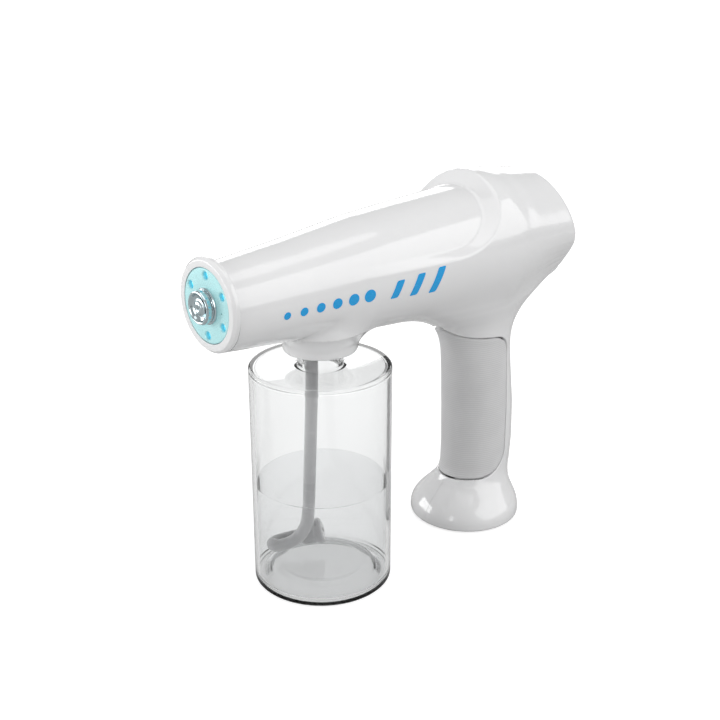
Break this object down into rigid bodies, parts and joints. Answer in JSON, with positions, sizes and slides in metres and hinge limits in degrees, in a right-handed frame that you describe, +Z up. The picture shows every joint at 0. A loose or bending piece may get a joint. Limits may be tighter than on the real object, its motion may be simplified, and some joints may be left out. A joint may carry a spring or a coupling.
{
  "type": "electrostatic disinfectant sprayer",
  "caption": "Cordless handheld electrostatic mist sprayer: tapered barrel with lit nozzle, clear screw-on bottle with dip hose, upright squeeze-grip handle on a round foot.",
  "frame": {"origin": "centre of the handle foot's flat underside, on the ground", "axes": "+Z up; the nozzle faces -Y and the bottle stands towards -Y; +X is the side with the grip seam seen from the front right"},
  "size_m": [0.0678, 0.2127, 0.1855],
  "materials": {
    "gloss_white": "gloss white moulded ABS",
    "grip_grey": "soft-touch light grey with fine ribs",
    "button_grey": "satin grey",
    "chrome": "polished",
    "satin_plate": "satin pale blue-grey",
    "cyan_lens": "translucent cyan light guide",
    "clear_bottle": "clear",
    "dark_rubber": "matte",
    "milky_tube": "translucent milky tubing",
    "steel": "bright",
    "brass": "bright",
    "circuit_board": "solder mask",
    "black_plastic": "fine texture",
    "display_lens": "smoked clear window",
    "battery_wrap": "blue shrink wrap over the cell can"
  },
  "bodies": {
    "root": {"housing_left": "gloss_white", "housing_right": "gloss_white", "barrel_cover": "gloss_white", "front_bezel": "gloss_white", "rear_panel": "gloss_white", "foot_plate": "gloss_white", "collar_insert": "gloss_white", "tank_connector": "gloss_white", "nozzle_base": "chrome", "nozzle_tip": "chrome", "nozzle_plate": "satin_plate", "led_light_ring": "cyan_lens", "foot_pad": "dark_rubber", "power_cable": "dark_rubber", "motor_cable": "dark_rubber", "high_voltage_cable": "dark_rubber", "suction_hose": "milky_tube", "suction_tube": "milky_tube", "feed_tube": "milky_tube", "atomizer_body": "milky_tube", "hose_filter": "steel", "trigger_pin": "steel", "battery_contact_top": "steel", "battery_contact_bottom": "steel", "battery_spring": "steel", "trigger_spring": "steel", "pump_motor": "steel", "charge_socket": "steel", "housing_screw_1": "steel", "housing_screw_2": "steel", "housing_screw_3": "steel", "housing_screw_4": "steel", "foot_screw_1": "steel", "foot_screw_2": "steel", "charging_electrode": "brass", "led_board": "circuit_board", "main_board": "circuit_board", "button_board": "circuit_board", "battery_sleeve": "black_plastic", "micro_switch": "black_plastic", "pump_body": "black_plastic", "pump_cover": "black_plastic", "high_voltage_module": "black_plastic", "display_lens": "display_lens", "battery_cell": "battery_wrap"},
    "grip": {"squeeze_trigger": "grip_grey"},
    "switch_pin": {"switch_plunger": "steel"},
    "power_key": {"power_button": "button_grey"},
    "light_key": {"light_button": "button_grey"},
    "nozzle_collar": {"nozzle_ring": "chrome"},
    "rotor": {"pump_rotor": "milky_tube"},
    "bottle_seal": {"bottle_gasket": "dark_rubber"},
    "tank": {"bottle": "clear_bottle"}
  },
  "joints": [
    {"name": "trigger_squeeze", "type": "hinge", "parent": "root", "child": "grip", "pos_m": [0, -0.0068, 0.028], "axis": [-1, 0, 0], "range_deg": [0, 0.6]},
    {"name": "switch_travel", "type": "slide", "parent": "root", "child": "switch_pin", "axis": [0, 1, 0], "range_m": [0, 0.0008]},
    {"name": "power_press", "type": "slide", "parent": "root", "child": "power_key", "axis": [0, -0.9659, -0.2588], "range_m": [0, 0.0008]},
    {"name": "light_press", "type": "slide", "parent": "root", "child": "light_key", "axis": [0, -0.9659, -0.2588], "range_m": [0, 0.0008]},
    {"name": "nozzle_turn", "type": "hinge", "parent": "root", "child": "nozzle_collar", "pos_m": [0, -0.1603, 0.1499], "axis": [0, -1, 0], "range_deg": [-45, 45]},
    {"name": "pump_spin", "type": "hinge", "parent": "root", "child": "rotor", "pos_m": [0, -0.1138, 0.152], "axis": [0, -1, 0], "continuous": true},
    {"name": "bottle_drop", "type": "slide", "parent": "root", "child": "bottle_seal", "axis": [0, 0, -1], "range_m": [0, 0.0051]},
    {"name": "bottle_turn", "type": "hinge", "parent": "bottle_seal", "child": "tank", "pos_m": [0, -0.0978, 0.06], "axis": [0, 0, -1], "range_deg": [0, 450]}
  ],
  "couplings": [
    {"joint": "switch_travel", "follows": "trigger_squeeze", "m_per_rad": 0.064},
    {"joint": "bottle_drop", "follows": "bottle_turn", "m_per_rad": 0.00063662}
  ]
}
